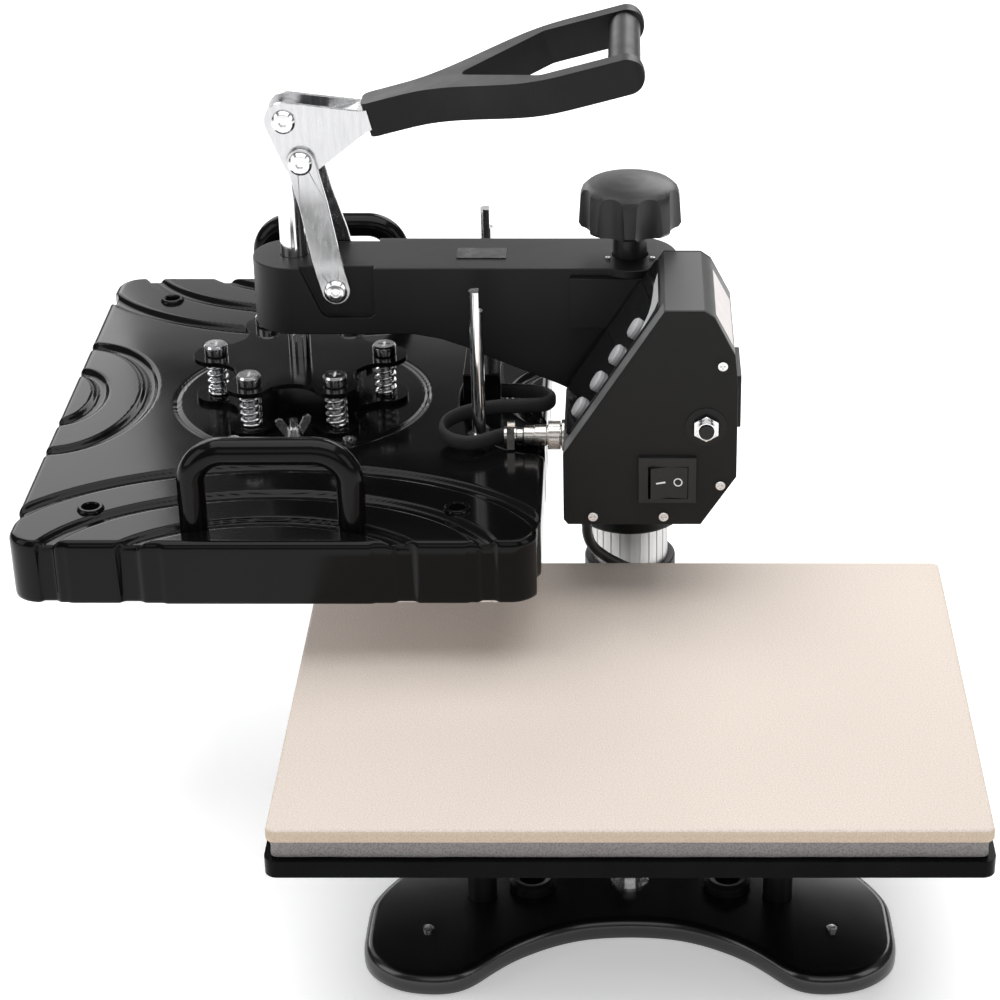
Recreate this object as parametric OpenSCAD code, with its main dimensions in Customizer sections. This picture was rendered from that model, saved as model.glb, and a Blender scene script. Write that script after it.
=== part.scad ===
// Swing-away heat press with a toggle lever, a spring-loaded upper platen and a
// padded lower platen on a low base. Millimetres, +Z up. The origin is on the table,
// on the axis of the post. The head is swung a quarter turn to the left of the lower
// platen and its lever is up.

/* [Lower platen] */
// Height of the pad's top face above the table
pad_z = 140; // [138:1:142]
// Width of the pads, left to right
pad_w = 380; // [370:1:384]
// Depth of the pads, front to back
pad_d = 290; // [284:1:292]
// Thickness of the cream silicone pad
top_pad_t = 8; // [6:0.5:8]
// Thickness of the grey foam pad under it
foam_t = 10.5; // [9:0.5:10.5]
// Height of the steel tray's edge
tray_t = 10; // [9.5:0.5:12]

/* [Base and post] */
// Height of the base shell
base_h = 14; // [13:0.5:15]
// Radius of the ribbed aluminium post
post_r = 24; // [23:0.5:24]
// Radius of the black socket that holds the post
socket_r = 29; // [28:0.5:31]

/* [Arm] */
// Height of the arm's flat top above the pad
arm_top = 177; // [176:0.5:178]
// Width of the arm
arm_w = 50; // [48:1:52]
// Distance from the post's axis to the press rod's axis
rod_x = 204; // [203:0.5:205]

/* [Upper platen] */
// Gap between the two platens with the lever up
daylight = 41; // [40.8:0.1:43]
// Length of the cover along the arm
cover_l = 300; // [296:1:304]
// Width of the cover across the arm
cover_w = 388; // [384:1:392]
// Height of the cover
cover_h = 40; // [39:0.5:41]
// Depth of the channels in the cover
channel_d = 3; // [2:0.5:3.5]
// Diameter of the bail handles' tube
bail_d = 16; // [14:0.5:17]

/* [Springs] */
// Radius of the circle that the spring bolts stand on
spring_pcd_r = 52; // [50:0.5:53]
// Length of the springs
spring_l = 23; // [22.5:0.1:23.2]

/* [Handle] */
// Outside width of the forked grip
grip_w = 108; // [100:1:112]
// Height of the grip's arms
grip_h = 21; // [18:1:23]
// Slope of the grip above the horizontal, in degrees
grip_tilt = 15; // [13:0.5:16]

/* [Control box] */
// Near side of the box, measured from the post's axis
box_y0 = -121.5; // [-124:0.5:-118]
// Far side of the box
box_y1 = -29; // [-30:0.5:-29]
// Thickness of the box's sheet metal
sheet_t = 1.5; // [1.2:0.1:2]
// Diameter of the push buttons
button_d = 12.5; // [10:0.5:13]

/* [Mains cord] */
// Diameter of the mains cord
cord_d = 6.5; // [6:0.1:6.5]

/* [Hidden] */
$fn = 48;

// Pivots of the toggle, as [x, height above the pad]
p1 = [-rod_x, 264.5];
p2 = [-rod_x + 9, 240];
p3 = [-rod_x + 27, 162];
pad_y = -67 - pad_d / 2;
cov_x = -rod_x + 3;
cov_z0 = pad_z + daylight + 1;
cov_z1 = pad_z + daylight + cover_h;
at = pad_z + arm_top;
plate_t = 3;

// Points of an arc
function arc(c, r, a0, a1, n) = [for (i = [0:n]) let (a = a0 + (a1 - a0) * i / n) [c[0] + r * cos(a), c[1] + r * sin(a)]];
// Points of an ellipse
function ell(c, a, b, n = 72) = [for (i = [0:n - 1]) [c[0] + a * cos(i * 360 / n), c[1] + b * sin(i * 360 / n)]];
// A rectangle with round corners, by its limits
module rrect(x0, x1, y0, y1, r) {
  translate([x0 + r, y0]) square([x1 - x0 - 2 * r, y1 - y0]);
  translate([x0, y0 + r]) square([x1 - x0, y1 - y0 - 2 * r]);
  for (x = [x0 + r, x1 - r], y = [y0 + r, y1 - r]) translate([x, y]) circle(r);
}
// A side view in X and Z, extruded from y0 to y1
module side(y0, y1) { translate([0, y1, 0]) rotate([90, 0, 0]) linear_extrude(y1 - y0) children(); }
// A cylinder along Y from y0 to y1
module cyl_y(x, z, r, y0, y1) { translate([x, y1, z]) rotate([90, 0, 0]) cylinder(h = y1 - y0, r = r); }
// A cylinder along X from x0 to x1
module cyl_x(y, z, r, x0, x1) { translate([x0, y, z]) rotate([0, 90, 0]) cylinder(h = x1 - x0, r = r); }
// A cylinder along Z from z0 to z1
module cyl_z(x, y, r, z0, z1) { translate([x, y, z0]) cylinder(h = z1 - z0, r = r); }
// A pan-head screw at the origin, pointing down
module pan_screw(head_r, head_h, shank_r, shank_l) {
  difference() {
    cylinder(h = head_h, r = head_r);
    for (a = [0, 90]) rotate([0, 0, a]) translate([-head_r * 0.6, -head_r * 0.13, head_h * 0.5]) cube([head_r * 1.2, head_r * 0.26, head_h]);
  }
  translate([0, 0, -shank_l]) cylinder(h = shank_l + 0.01, r = shank_r);
}

// Smooth points through hand-chosen route points
function cr(p0, p1, p2, p3, t) = 0.5 * ((2 * p1) + (p2 - p0) * t + (2 * p0 - 5 * p1 + 4 * p2 - p3) * t * t + (3 * p1 - p0 - 3 * p2 + p3) * t * t * t);
function smooth_path(p, k) = let (n = len(p)) concat([for (i = [0:n - 2], j = [0:k - 1])
  cr(p[max(i - 1, 0)], p[i], p[i + 1], p[min(i + 2, n - 1)], j / k)], [p[n - 1]]);
function unit(v) = v / norm(v);
// A ring's points round a route point, square to the route
function ring(c, t, m, a, b, up) = let (s = unit(cross(t, up)), w = cross(s, t))
  [for (i = [0:m - 1]) let (q = 360 * (i + 0.5) / m) c + s * a * cos(q) + w * b * sin(q)];
// A closed tube swept along a path with an elliptical section a by b
module sweep(path, a, b, m, up) {
  n = len(path);
  tan = [for (i = [0:n - 1]) unit(path[min(i + 1, n - 1)] - path[max(i - 1, 0)])];
  pts = [for (i = [0:n - 1]) each ring(path[i], tan[i], m, a, b, up)];
  faces = concat([[for (j = [0:m - 1]) j]], [[for (j = [m - 1:-1:0]) (n - 1) * m + j]],
    [for (i = [0:n - 2], j = [0:m - 1]) [i * m + j, (i + 1) * m + j, (i + 1) * m + (j + 1) % m]],
    [for (i = [0:n - 2], j = [0:m - 1]) [i * m + j, (i + 1) * m + (j + 1) % m, i * m + (j + 1) % m]]);
  polyhedron(points = pts, faces = faces);
}

// ---- Base ----
// Half of the base's front outline, from the middle of the arch round a lobe to the side
front_half = [[0, -264.2], [14, -264.9], [28, -267.2], [43, -272.8], [57, -280.8], [67, -288.2], [76, -297], [83, -304.8], [89, -310.6], [96.5, -314.8],
  [105, -316.4], [114, -316.2], [126, -313.9], [137.5, -307.4], [146, -298], [150.2, -287], [150.8, -275], [150.4, -254], [149, -242], [142, -227], [133.5, -214]];
module base_plan() {
  offset(r = 9, $fn = 24) offset(r = -23, $fn = 24) offset(r = 14, $fn = 24)
    union() {
      for (s = [-1, 1]) polygon([for (q = concat(smooth_path(front_half, 2), [[0, -214]])) [s * q[0], q[1]]]);
      polygon([[-134, -214.5], [134, -214.5], [62, -130], [50, -60], [60, 0], [60, 50], [-60, 50], [-60, 0], [-50, -60], [-62, -130]]);
      for (s = [-1, 1]) translate([s * 52, 36]) circle(r = 26);
      translate([-52, 10]) square([104, 52]);
    }
}
foot_at = [[-118, -280], [118, -280], [-52, 36], [52, 36]];
pillar_at = [[-85.5, -238], [85.5, -238], [-40, -120], [40, -120]];
module base_shell() color([0.06, 0.06, 0.065]) difference() {
  union() {
    difference() {
      union() {
        translate([0, 0, 2]) linear_extrude(8) base_plan();
        for (k = [1:3]) translate([0, 0, 9]) linear_extrude((base_h - 9) * k / 3) offset(delta = -[0, 0.8, 2.2, 4.8][k]) base_plan();
      }
      translate([0, 0, 1]) linear_extrude(base_h - 4) offset(delta = -6) base_plan();
    }
    for (p = foot_at) cyl_z(p[0], p[1], 11, 6, base_h - 1);
    for (p = pillar_at) cyl_z(p[0], p[1], 8, 6, base_h - 1);
    cyl_z(0, 0, 46, 6, base_h - 1);
  }
  cyl_z(0, 0, 15, 0, base_h + 1);
}
module rubber_feet() color([0.05, 0.05, 0.05]) for (p = foot_at) difference() {
  cyl_z(p[0], p[1], 10, 0, 6);
  cyl_z(p[0], p[1], 4, -1, 2.5);
}
flange_z = base_h + 6;
module base_screws() color([0.8, 0.8, 0.82]) {
  for (s = [-1, 1]) translate([s * 114.6, -272.5, base_h]) pan_screw(3, 1.6, 1.4, 7);
  for (a = [45:90:315]) rotate([0, 0, a]) translate([38.5, 0, flange_z]) pan_screw(4.8, 3, 3, 13);
}
module post_socket() color([0.08, 0.08, 0.08]) difference() {
  rotate_extrude() polygon([[post_r, base_h], [45, base_h], [45, flange_z - 1], [44, flange_z], [socket_r + 2.5, flange_z], [socket_r, flange_z + 4], [socket_r, pad_z - 30], [socket_r - 1, pad_z - 29], [post_r, pad_z - 29]]);
  for (a = [45:90:315]) rotate([0, 0, a]) cyl_z(38.5, 0, 3.2, base_h - 1, flange_z + 1);
}
module post_tube() color([0.78, 0.78, 0.79]) translate([0, 0, base_h]) linear_extrude(pad_z + 92 - base_h) difference() {
  circle(r = post_r, $fn = 96);
  circle(r = 19);
  for (a = [0:15:345]) rotate(a) translate([post_r - 0.8, -0.45]) square([2, 0.9]);
}
module post_spindle() color([0.7, 0.7, 0.72]) { cyl_z(0, 0, 19, pad_z + 62, pad_z + 92); cyl_z(0, 0, 14, pad_z + 91.9, pad_z + 140); }

// ---- Lower platen ----
tray_z1 = pad_z - top_pad_t - foam_t;
tray_z0 = tray_z1 - tray_t;
module platen_supports() color([0.07, 0.07, 0.07]) {
  for (p = pillar_at) difference() { cyl_z(p[0], p[1], 8.5, base_h, tray_z1 - 4); cyl_z(p[0], p[1], 4.2, base_h - 1, base_h + 8); }
  for (s = [-1, 1]) translate([s * 56.6, -229, base_h]) rotate_extrude() polygon([[8, 0], [13.5, 0], [13.5, 5], [11, 7], [8, 6]]);
}
module support_bolts() color([0.75, 0.75, 0.77]) {
  for (p = pillar_at) { translate([p[0], p[1], base_h - 8]) cylinder(h = 16, r = 4.2); }
  translate([0, -225, base_h]) { cylinder(h = 2, r = 11); cylinder(h = 9, r = 6.3, $fn = 6); }
}
module lower_platen() color([0.07, 0.07, 0.07]) difference() {
  translate([0, 0, tray_z0]) linear_extrude(tray_t) rrect(-pad_w / 2 - 1.5, pad_w / 2 + 1.5, pad_y - pad_d / 2 - 1.5, pad_y + pad_d / 2 + 1.5, 7);
  translate([0, 0, tray_z0 - 1]) linear_extrude(tray_t - 3) rrect(-pad_w / 2 + 3, pad_w / 2 - 3, pad_y - pad_d / 2 + 3, pad_y + pad_d / 2 - 3, 5);
}
module foam_pad() color([0.55, 0.53, 0.54]) translate([0, 0, tray_z1]) linear_extrude(foam_t) rrect(-pad_w / 2 + 2, pad_w / 2 - 2, pad_y - pad_d / 2 + 2, pad_y + pad_d / 2 - 2, 4);
module top_pad() color([0.87, 0.8, 0.73]) translate([0, 0, pad_z - top_pad_t]) linear_extrude(top_pad_t) rrect(-pad_w / 2, pad_w / 2, pad_y - pad_d / 2, pad_y + pad_d / 2, 5);

// ---- Swivel: thrust bearing and the mains cord, which turn with the head ----
module thrust_bearing() color([0.6, 0.55, 0.4]) cyl_z(0, 0, 14, pad_z + 140, pad_z + 144);
// The mains cord: straight down out of the box, along under the head and over the base to its coil
route = [[-26.5, -57, 184], [-26.5, -57, 172], [-26.5, -57, 160], [-25.8, -57, 152.5], [-22.8, -57, 145.5], [-16.5, -57, 139.3],
  [-7.5, -56.8, 133.5], [4, -54.8, 126.5], [12.5, -51.5, 117.5], [17, -49, 106], [18, -47.5, 93.5], [18, -47, 80.5],
  [19.5, -47, 67], [24.5, -46, 53], [34, -43, 40], [46, -37, 29.5], [58.5, -28.5, 23], [70.5, -18.5, 20],
  [82, -9, 18.8], [93, -1, 17], [103, 6, 12.8], [113, 12, 7.8], [123, 16.5, 4.6], [133.2, 19, 3.5]];
coil_c = [140, 62];
coil_r0 = 43.5;
coil_r1 = 30.5;
// The cord's last stretch, from the coil to the plug
tail = [[183.5, 62, 9.9], [183.5, 74, 9.9], [182.3, 87, 10.2], [178, 99.5, 10.8], [170, 110.5, 11.5], [159.5, 119.5, 12.1], [147.5, 125.8, 12.5], [134, 128, 12.5]];
module mains_cord() color([0.06, 0.06, 0.06]) {
  sweep(smooth_path(route, 3), cord_d / 2, cord_d / 2, 10, [0.35, 0.9, 0.25]);
  sweep(smooth_path(tail, 2), cord_d / 2, cord_d / 2, 10, [0, 0, 1]);
}
module cord_coil() color([0.06, 0.06, 0.06]) translate([coil_c[0], coil_c[1], 0]) rotate_extrude()
  polygon([[coil_r1 - 3.3, 2], [coil_r1 - 1.5, 0], [coil_r0 + 1.5, 0], [coil_r0 + 3.3, 2], [coil_r0 + 3.3, 11], [coil_r0 + 1.5, 13.2], [coil_r1 - 1.5, 13.2], [coil_r1 - 3.3, 11]]);
module mains_plug() color([0.06, 0.06, 0.06]) translate([134, 128, 12.5]) mirror([1, 0, 0]) {
  rotate([0, 90, 0]) rotate_extrude() polygon([[0, 0], [4.6, 0], [5.4, 12], [11, 18], [12.2, 22], [12.2, 36], [0, 36]]);
  for (s = [-1, 1]) translate([35.9, s * 6.35 - 0.75, -2.15]) cube([16, 1.5, 6.3]);
  cyl_x(0, -7, 2.4, 35.9, 53);
}

// ---- Arm ----
module arm_casting() color([0.11, 0.11, 0.115]) difference() {
  union() {
    side(-arm_w / 2, arm_w / 2) polygon([[-rod_x, arm_top + pad_z], [0, at], [0, pad_z + 90], [-30, pad_z + 94], [-44, pad_z + 101], [-60, pad_z + 108], [-80, pad_z + 116.5], [-101, pad_z + 126], [-115, pad_z + 131], [-131, pad_z + 134], [-rod_x, pad_z + 134]]);
    cyl_z(-rod_x, 0, arm_w / 2, pad_z + 134, at);
    cyl_z(0, 0, 28.5, pad_z + 10, at);
    translate([0, 0, pad_z + 1]) rotate_extrude() polygon([[20, 0], [33.5, 0], [35, 1.5], [35, 16], [33, 19], [28, 22], [20, 22]]);
  }
  cyl_z(0, 0, post_r + 0.06, pad_z - 1, pad_z + 104);
  cyl_z(0, 0, 14.06, pad_z + 103, pad_z + 156);
  cyl_z(0, 0, 10.8, pad_z + 150, at + 1);
  cyl_z(-rod_x, 0, 8.06, pad_z + 130, at + 1);
  for (s = [0, 1]) mirror([0, s, 0]) side(20.5, arm_w / 2 + 1)
    polygon([[-rod_x + 4.8, at + 1], [-rod_x + 17.6, pad_z + 147.2], [-rod_x + 21, pad_z + 145], [-rod_x + 47, pad_z + 145], [-rod_x + 50, pad_z + 148], [-rod_x + 50, at + 1]]);
}

// ---- Pressure knob ----
knob_z = pad_z + 196;
module pressure_knob() color([0.07, 0.07, 0.07]) {
  difference() {
    intersection() {
      translate([0, 0, knob_z]) linear_extrude(30) difference() {
        circle(r = 31, $fn = 96);
        for (a = [22.5:45:360]) rotate(a) translate([41.8, 0]) circle(r = 15);
      }
      translate([0, 0, knob_z]) rotate_extrude() polygon([[0, 0], [29.5, 0], [31, 2], [29.8, 20.5], [28.6, 23.6], [25.6, 25.8], [19, 27.5], [10, 28.7], [0, 29.2]]);
    }
    cyl_z(0, 0, 8, knob_z - 1, knob_z + 16);
  }
  difference() { cyl_z(0, 0, 10.5, pad_z + 154, knob_z + 0.1); cyl_z(0, 0, 8, pad_z + 153, knob_z + 1); }
}
module pressure_screw() color([0.7, 0.7, 0.72]) cyl_z(0, 0, 8, pad_z + 144.3, knob_z + 15);

// ---- Control box ----
bp = [[-39, 58], [-36.5, 54.8], [41.5, 54.8], [62, 86], [62, 143], [60, 163.5], [48, 186.5], [42, 190.7], [20, 190.7], [-39, 100]];
bz = [for (p = bp) [p[0], p[1] + pad_z]];
module box_shell() color([0.12, 0.12, 0.125]) difference() {
  side(box_y0 + 2, box_y1 - 2) difference() { polygon(bz); offset(delta = -sheet_t) polygon(bz); }
  for (k = [0:3]) button_place(k) translate([0, 0, -3]) cylinder(h = 8, r = button_d / 2 + 0.3);
  cyl_x(py, pz, 6.5, -45, -30);
  cyl_z(-26.5, -57, 7.3, pad_z + 50, pad_z + 60);
}
module box_front_plate() color([0.11, 0.11, 0.11]) difference() {
  side(box_y0, box_y0 + 2) polygon(bz);
  translate([9, box_y0 - 1, pad_z + 71.5]) cube([26.4, 4, 24]);
  cyl_y(44, pad_z + 118.5, 5.5, box_y0 - 1, box_y0 + 3);
}
module box_rear_plate() color([0.11, 0.11, 0.11]) side(box_y1 - 2, box_y1) polygon(bz);
module box_bracket() color([0.1, 0.1, 0.1]) difference() {
  translate([-36, box_y1, pad_z + 140]) cube([54, -arm_w / 2 - box_y1, 32]);
  cyl_z(0, 0, 28.55, pad_z + 130, at);
}
// The sloping panel: origin on the panel's middle line at its lower end, Z out of it, X up it
panel_a = atan2(90.7, 59);
module on_panel() { translate([-39, (box_y0 + box_y1) / 2, pad_z + 100]) rotate([0, -panel_a, 0]) children(); }
button_y = -93 - (box_y0 + box_y1) / 2;
module button_place(k) { on_panel() translate([20 + 20 * k, button_y, 0]) children(); }
module display_overlay() color([0.03, 0.03, 0.035]) on_panel() difference() {
  translate([0, 0, 0]) linear_extrude(1.2) rrect(5, 103, box_y0 - (box_y0 + box_y1) / 2 + 16, box_y1 - (box_y0 + box_y1) / 2 - 3, 4);
  for (k = [0:3]) translate([20 + 20 * k, button_y, -1]) cylinder(h = 4, r = button_d / 2 + 0.3);
}
module push_button(k) color([0.62, 0.62, 0.63]) button_place(k) {
  translate([0, 0, 0.5]) rotate_extrude() polygon([[0, -2], [button_d / 2, -2], [button_d / 2, 2.6], [button_d / 2 - 1.2, 3.8], [0, 4.4]]);
  translate([0, 0, -5]) cylinder(h = 4, r = 3);
}
module mode_button() push_button(3);
module up_button() push_button(2);
module down_button() push_button(1);
module timer_button() push_button(0);
module access_plate() color([0.08, 0.08, 0.08]) translate([62, -96, pad_z + 106]) cube([3, 42, 33]);
module panel_screws() color([0.82, 0.82, 0.84]) {
  for (p = [[53, 157.3], [52.7, 81.1], [19.7, 60.6], [-21.7, 60.6]]) translate([p[0], box_y0, p[1] + pad_z]) rotate([90, 0, 0]) pan_screw(2.8, 1.6, 1.4, 5);
  for (s = [-1, 1]) translate([s * 13.5, -9, at]) pan_screw(1.6, 1, 1, 5);
}
module switch_bezel() color([0.1, 0.1, 0.1]) difference() {
  union() {
    translate([5, box_y0 - 2.5, pad_z + 70.5]) cube([33.5, 2.5, 29]);
    translate([9, box_y0 - 0.1, pad_z + 71.5]) cube([26.4, 22, 24]);
  }
  translate([10.5, box_y0 - 4, pad_z + 73]) cube([23.4, 20, 21]);
  cyl_z(rocker_x, box_y0 + 1, 1.65, pad_z + 72, pad_z + 95);
}
rocker_x = 22.2;
module power_rocker() color([0.14, 0.14, 0.145]) {
  side_z(pad_z + 73.4, pad_z + 93.6) translate([rocker_x, box_y0 + 1]) rotate(6) polygon([[-10.8, -5], [0, -2.6], [10.8, -5], [9.5, 3], [4, 7], [-4, 7], [-9.5, 3]]);
  cyl_z(rocker_x, box_y0 + 1, 1.6, pad_z + 72.3, pad_z + 94.7);
}
// A plan extruded from z0 to z1
module side_z(z0, z1) { translate([0, 0, z0]) linear_extrude(z1 - z0) children(); }
module breaker_bush() color([0.75, 0.74, 0.72]) difference() {
  union() {
    cyl_y(44, pad_z + 118.5, 5.5, box_y0 - 7, box_y0 + 12);
    translate([44, box_y0, pad_z + 118.5]) rotate([90, 30, 0]) cylinder(h = 3.2, r = 8, $fn = 6);
    translate([36, box_y0 + 2, pad_z + 104]) cube([16, 24, 29]);
  }
  cyl_y(44, pad_z + 118.5, 4.5, box_y0 - 8, box_y0 + 12.4);
}
module breaker_button() color([0.05, 0.05, 0.05]) cyl_y(44, pad_z + 118.5, 4.2, box_y0 - 8.5, box_y0 + 8);

// ---- Output socket, plug and the platen's lead ----
py = -71;
pz = pad_z + 88.7;
module output_socket() color([0.75, 0.74, 0.72]) {
  translate([-39, py, pz]) rotate([0, -90, 0]) rotate_extrude() polygon([[0, 0], [9.5, 0], [9.5, 1.6], [7, 2.2], [0, 2.2]]);
  cyl_x(py, pz, 6.5, -39.1, -26);
  translate([-37.4, py, pz]) rotate([0, 90, 0]) cylinder(h = 3, r = 9, $fn = 6);
}
module lead_plug() color([0.75, 0.74, 0.72]) difference() {
  union() {
    translate([-41.2, py, pz]) rotate([0, -90, 0]) rotate_extrude() polygon([[0, 0], [6, 0], [6, 8.4], [6.5, 9], [6.5, 15.5], [5.9, 16.5], [5.9, 22], [4.6, 23], [4.6, 26], [5.2, 27], [5.2, 34], [0, 34]]);
    for (s = [-1, 1]) translate([-73.5, py + s * 5.2 - 1.5, pz - 6.5]) cube([4.5, 3, 13]);
  }
}
module plug_ring() color([0.78, 0.77, 0.75]) translate([-41.5, py, pz]) rotate([0, -90, 0]) difference() {
  rotate_extrude() polygon([[6.06, 0], [8.4, 0], [8.8, 0.5], [8.8, 7.1], [8.4, 7.6], [6.06, 7.6]]);
  for (a = [0:15:345]) rotate([0, 0, a]) translate([8.5, -0.35, -1]) cube([1, 0.7, 10]);
}
// The platen's braided lead: out of the plug, round the near guide rod and back to the terminal cover
lead = [[-75.2, -71, 228.7], [-80, -73.5, 228.7], [-86.5, -79, 228.8], [-96, -82.5, 229], [-106.5, -79, 229.5], [-112.5, -69, 230.5], [-110, -57, 231.5],
  [-100, -49, 233], [-88, -45, 234], [-75, -43, 234.5], [-62, -42, 234.5], [-52, -38, 233.5], [-47.5, -28.5, 232], [-50, -18.5, 230], [-57, -11, 229], [-67, -8, 228.5], [-79.7, -7, 228.5]];
module platen_lead() color([0.07, 0.07, 0.07]) sweep(smooth_path(lead, 3), 2.3, 4.8, 12, [0, 0, 1]);

module strain_relief() color([0.06, 0.06, 0.06]) translate([-26.5, -57, pad_z + 27]) rotate_extrude()
  polygon([[3.7, 0], [4.5, 0], [6.4, 25], [9, 26.3], [9, 27.7], [7, 27.8], [7, 33], [3.7, 33]]);

// ---- Upper platen ----
module cover_plan(d) { rrect(cov_x - cover_l / 2 + d, cov_x + cover_l / 2 - d, -cover_w / 2 + d, cover_w / 2 - d, 17 - d); }
module band(a, b, w) { difference() { polygon(ell([0, 0], a, b)); polygon(ell([0, 0], a - w, b - w)); } }
spring_at = [for (k = [0:5]) [-rod_x + spring_pcd_r * cos(60 * k), spring_pcd_r * sin(60 * k)]];
rod_at = [[-90.4, -67], [-90.4, 67]];
module platen_cover() color([0.05, 0.05, 0.055]) difference() {
  union() {
    difference() {
      union() {
        translate([0, 0, cov_z0]) linear_extrude(cover_h - 5) cover_plan(0);
        translate([0, 0, cov_z0]) linear_extrude(cover_h - 3) cover_plan(1.5);
        translate([0, 0, cov_z0]) linear_extrude(cover_h - 1) cover_plan(4);
      }
      translate([0, 0, cov_z0 - 1]) linear_extrude(cover_h - 6) cover_plan(4);
    }
    for (x = [-105, 105], y = [-152, 152]) translate([-rod_x + x, y, cov_z1 - 1]) rotate_extrude() polygon([[4.5, 0], [8, 0], [7, 2], [5.4, 2.2], [4.5, 1.2]]);
  }
  for (m = [0, 1]) mirror([0, m, 0]) translate([-rod_x, 0, cov_z1 - channel_d]) linear_extrude(10) {
    translate([0, -198]) band(165, 105, 11);
    translate([0, -218]) band(135, 90, 11);
    translate([0, -221]) band(95, 60, 11);
  }
  for (m = [0, 1]) translate([cov_x, 0, cov_z1 - channel_d]) mirror([m, 0, 0]) linear_extrude(10) translate([-cover_l / 2 - 1, 0]) { band(56, 82, 10); band(26, 42, 10); }
  for (m = [0, 1]) mirror([0, m, 0]) for (x = [-121, -68, 68, 121]) translate([-rod_x + x - 6.5, -cover_w / 2 - 1, cov_z0 - 1]) cube([13, 3, cover_h]);
  translate([-rod_x, 0, cov_z1 - 1]) linear_extrude(2) difference() { circle(r = 79, $fn = 96); circle(r = 77, $fn = 96); }
  for (x = [-105, 105], y = [-152, 152]) cyl_z(-rod_x + x, y, 4.5, cov_z0, cov_z1 + 3);
  for (p = spring_at) cyl_z(p[0], p[1], 4.2, cov_z0, cov_z1 + 1);
  for (p = rod_at) cyl_z(p[0], p[1], 4, cov_z0, cov_z1 + 1);
}
module heater_plate() color([0.75, 0.75, 0.76]) translate([0, 0, pad_z + daylight]) linear_extrude(12) rrect(cov_x - 145, cov_x + 145, -189.4, 189.4, 12);
module heating_element() color([0.45, 0.42, 0.4]) translate([cov_x, 0, pad_z + daylight + 16]) {
  for (x = [-105, -35, 35, 105]) cyl_y(x, 0, 4, -140, 140);
  for (k = [0:2]) translate([-70 + 70 * k, k % 2 == 0 ? 140 : -140, 0]) rotate([0, 0, k % 2 == 0 ? 0 : 180]) rotate_extrude(angle = 180) translate([35, 0]) circle(r = 4, $fn = 24);
}
module insulation_pad() color([0.8, 0.78, 0.7]) translate([0, 0, pad_z + daylight + 20]) linear_extrude(5) rrect(cov_x - 140, cov_x + 140, -184, 184, 10);
module bail() {
  r = bail_d / 2;
  z1 = pad_z + 136 - r;
  b = 20;
  for (s = [-1, 1]) {
    cyl_z(s * 45, 0, r, cov_z1 - channel_d, z1 - b);
    translate([s * (45 - b), 0, z1 - b]) rotate([90, 0, s > 0 ? 0 : 180]) rotate_extrude(angle = 90) translate([b, 0]) circle(r = r, $fn = 32);
  }
  cyl_x(0, z1, r, -45 + b, 45 - b);
}
module front_bail() color([0.04, 0.04, 0.045]) translate([-rod_x + 2, -172, 0]) bail();
module rear_bail() color([0.04, 0.04, 0.045]) translate([-rod_x + 2, 172, 0]) bail();
module guide_rods() color([0.85, 0.85, 0.86]) for (p = rod_at) {
  difference() { cyl_z(p[0], p[1], 4, cov_z1 - 10, pad_z + 180.6); translate([p[0] + 1.8, p[1] - 5, pad_z + 168]) cube([5, 10, 20]); }
  translate([p[0], p[1], cov_z1]) difference() { cylinder(h = 7, r = 7.5, $fn = 6); translate([0, 0, -1]) cylinder(h = 9, r = 4); }
}
module spider_plan() difference() {
  union() {
    circle(r = 50, $fn = 72);
    for (k = [0:5]) rotate(60 * k) translate([spring_pcd_r, 0]) circle(r = 14);
  }
  for (k = [0:5]) rotate(60 * k + 30) translate([61, 0]) circle(r = 17);
}
module lower_spider() color([0.05, 0.05, 0.055]) difference() {
  translate([-rod_x, 0, cov_z1]) linear_extrude(plate_t) spider_plan();
  for (p = spring_at) cyl_z(p[0], p[1], 4.2, cov_z1 - 1, cov_z1 + 5);
}
up_z = cov_z1 + plate_t + spring_l;
module upper_spider() color([0.05, 0.05, 0.055]) difference() {
  translate([-rod_x, 0, up_z]) linear_extrude(plate_t) spider_plan();
  for (p = spring_at) cyl_z(p[0], p[1], 4.4, up_z - 1, up_z + 5);
  cyl_z(-rod_x, 0, 6.9, up_z - 1, up_z + 5);
}
module spring_bolts() color([0.85, 0.85, 0.86]) for (p = spring_at) {
  cyl_z(p[0], p[1], 4.2, cov_z1 - 9, cov_z1 + plate_t);
  cyl_z(p[0], p[1], 3.9, cov_z1 + plate_t - 0.1, up_z + plate_t + 0.5);
  translate([p[0], p[1], up_z + plate_t + 0.3]) difference() {
    rotate_extrude() polygon([[0, 0], [6.8, 0], [7.3, 0.8], [7.3, 5.4], [6.4, 6.6], [0, 6.6]]);
    for (a = [0, 90]) rotate([0, 0, a]) translate([-3.5, -0.7, 5]) cube([7, 1.4, 4]);
  }
}
module springs() color([0.85, 0.85, 0.86]) for (p = spring_at) difference() {
  cyl_z(p[0], p[1], 6.8, cov_z1 + plate_t, up_z);
  cyl_z(p[0], p[1], 5.2, cov_z1 + plate_t - 1, up_z + 1);
}
module terminal_cover() color([0.6, 0.6, 0.62]) difference() {
  translate([-103, -14, cov_z1]) cube([23, 44, 21]);
  translate([-101.5, -12.5, cov_z1 - 1]) cube([20, 41, 20.5]);
}
module cover_screws() color([0.8, 0.8, 0.82]) {
  for (s = [-1, 1]) translate([-rod_x + s * 35, -64, cov_z1]) pan_screw(4, 2.2, 2, 5);
  cyl_z(-rod_x + 1, -58, 2.5, cov_z1 - 5, cov_z1 + 12);
}
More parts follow.
